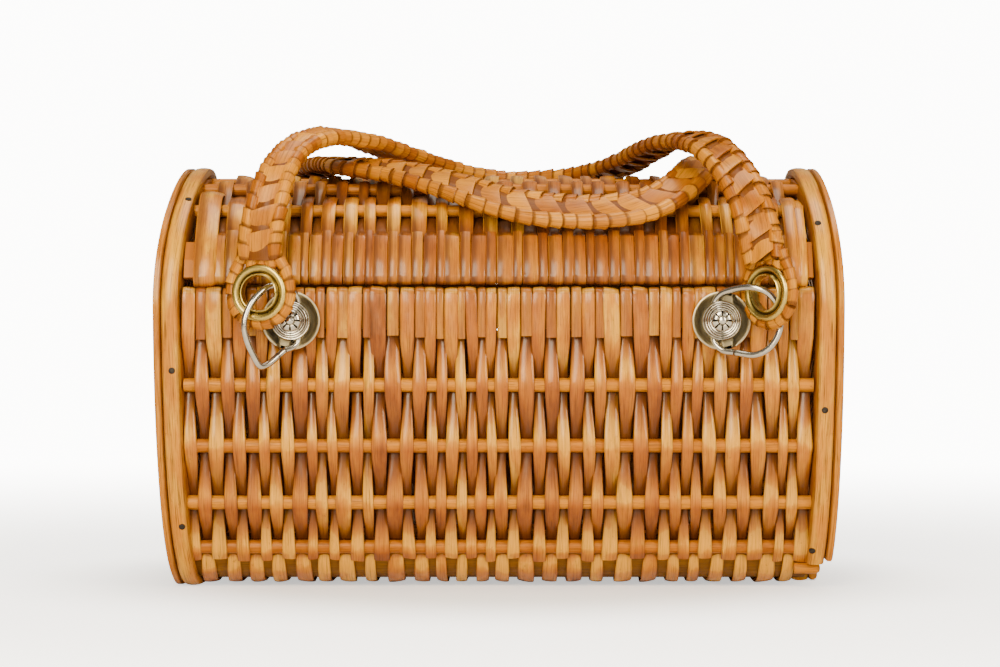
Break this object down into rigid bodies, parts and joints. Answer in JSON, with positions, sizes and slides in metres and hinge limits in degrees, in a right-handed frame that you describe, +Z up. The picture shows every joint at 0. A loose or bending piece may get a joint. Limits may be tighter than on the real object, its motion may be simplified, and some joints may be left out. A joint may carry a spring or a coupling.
{
  "type": "lidded wicker handbag basket",
  "caption": "Barrel-shaped woven willow handbag with a hinged curved lid and two plaited handles hung on metal rings.",
  "frame": {"origin": "middle of the base, on the surface the basket stands on", "axes": "+X to the right along the length, -Y to the front where the lid opens, +Z up"},
  "size_m": [0.296, 0.2065, 0.2047],
  "materials": {
    "woven_willow": "varnished split willow, honey brown, satin gloss",
    "pale_willow": "varnished round willow rods and laths, satin",
    "frame_willow": "varnished willow hoop, satin",
    "cane_band": "smooth split cane, varnished, glossy",
    "plaited_straw": "plaited willow splints, varnished, satin gloss",
    "eyelet_brass": "polished yellow brass, slightly tarnished",
    "bright_metal": "nickel plated steel, polished, lightly worn"
  },
  "bodies": {
    "root": {"cover_band_left": "cane_band", "edge_hoop_left": "cane_band", "frame_hoop_left": "frame_willow", "end_panel_left": "woven_willow", "hinge_ring_left": "pale_willow", "cover_band_right": "cane_band", "edge_hoop_right": "cane_band", "frame_hoop_right": "frame_willow", "end_panel_right": "woven_willow", "hinge_ring_right": "pale_willow", "front_weave": "woven_willow", "front_rim_binding": "woven_willow", "front_rod_1": "pale_willow", "front_rod_2": "pale_willow", "front_rod_3": "pale_willow", "front_rod_4": "pale_willow", "front_rim_lath": "pale_willow", "front_left_cup": "bright_metal", "front_left_domed_rivet": "bright_metal", "front_left_eyelet": "eyelet_brass", "front_left_tab": "plaited_straw", "front_right_cup": "bright_metal", "front_right_domed_rivet": "bright_metal", "front_right_eyelet": "eyelet_brass", "front_right_tab": "plaited_straw", "back_weave": "woven_willow", "back_rim_binding": "woven_willow", "back_rod_1": "pale_willow", "back_rod_2": "pale_willow", "back_rod_3": "pale_willow", "back_rod_4": "pale_willow", "back_rim_lath": "pale_willow", "back_left_cup": "bright_metal", "back_left_domed_rivet": "bright_metal", "back_right_cup": "bright_metal", "back_right_domed_rivet": "bright_metal", "base_weave": "woven_willow"},
    "lid": {"lid_weave": "woven_willow", "lid_front_binding": "woven_willow", "lid_back_binding": "woven_willow", "lid_front_lath": "pale_willow", "lid_back_lath": "pale_willow", "lid_rod_1": "pale_willow", "lid_rod_2": "pale_willow", "lid_rod_3": "pale_willow", "lid_rod_4": "pale_willow", "lid_rod_5": "pale_willow"},
    "front_legs": {"front_left_leg": "plaited_straw", "front_right_leg": "plaited_straw"},
    "front_handle": {"front_handle": "plaited_straw"},
    "front_left_d_ring": {"front_left_d_ring": "bright_metal"},
    "front_right_d_ring": {"front_right_d_ring": "bright_metal"},
    "back_tabs": {"back_left_eyelet": "eyelet_brass", "back_left_tab": "plaited_straw", "back_right_eyelet": "eyelet_brass", "back_right_tab": "plaited_straw"},
    "back_handle": {"back_handle": "plaited_straw"},
    "back_left_d_ring": {"back_left_d_ring": "bright_metal"},
    "back_right_d_ring": {"back_right_d_ring": "bright_metal"}
  },
  "joints": [
    {"name": "lid_hinge", "type": "hinge", "parent": "root", "child": "lid", "pos_m": [0, 0.0747, 0.13226], "axis": [-1, 0, 0], "range_deg": [0, 66]},
    {"name": "front_leg_turn", "type": "hinge", "parent": "root", "child": "front_legs", "pos_m": [0, -0.093, 0.147], "axis": [1, 0, 0], "range_deg": [0, 102.8]},
    {"name": "front_handle_swing", "type": "hinge", "parent": "front_legs", "child": "front_handle", "pos_m": [0, -0.0915, 0.1665], "axis": [1, 0, 0], "range_deg": [0, 60]},
    {"name": "back_tab_turn", "type": "hinge", "parent": "root", "child": "back_tabs", "pos_m": [0, 0.097, 0.1293], "axis": [-1, 0, 0], "range_deg": [0, 66.5]},
    {"name": "back_handle_swing", "type": "hinge", "parent": "back_tabs", "child": "back_handle", "pos_m": [0, 0.097, 0.1463], "axis": [-1, 0, 0], "range_deg": [0, 21.5]},
    {"name": "front_left_ring_swing", "type": "hinge", "parent": "root", "child": "front_left_d_ring", "pos_m": [-0.086, -0.08231, 0.1175], "axis": [0, 0, 1], "range_deg": [-3, 3]},
    {"name": "front_right_ring_swing", "type": "hinge", "parent": "root", "child": "front_right_d_ring", "pos_m": [0.0925, -0.08231, 0.1175], "axis": [0, 0, 1], "range_deg": [0, 3]},
    {"name": "back_right_ring_swing", "type": "hinge", "parent": "root", "child": "back_right_d_ring", "pos_m": [0.086, 0.08231, 0.1175], "axis": [0, 0, 1], "range_deg": [-3, 3]},
    {"name": "back_left_ring_swing", "type": "hinge", "parent": "root", "child": "back_left_d_ring", "pos_m": [-0.086, 0.08231, 0.1175], "axis": [0, 0, 1], "range_deg": [-3, 3]}
  ],
  "couplings": [
    {"joint": "front_leg_turn", "follows": "lid_hinge", "ratio": 1.55},
    {"joint": "back_tab_turn", "follows": "lid_hinge", "ratio": 1},
    {"joint": "back_handle_swing", "follows": "front_handle_swing", "ratio": 0.35}
  ]
}
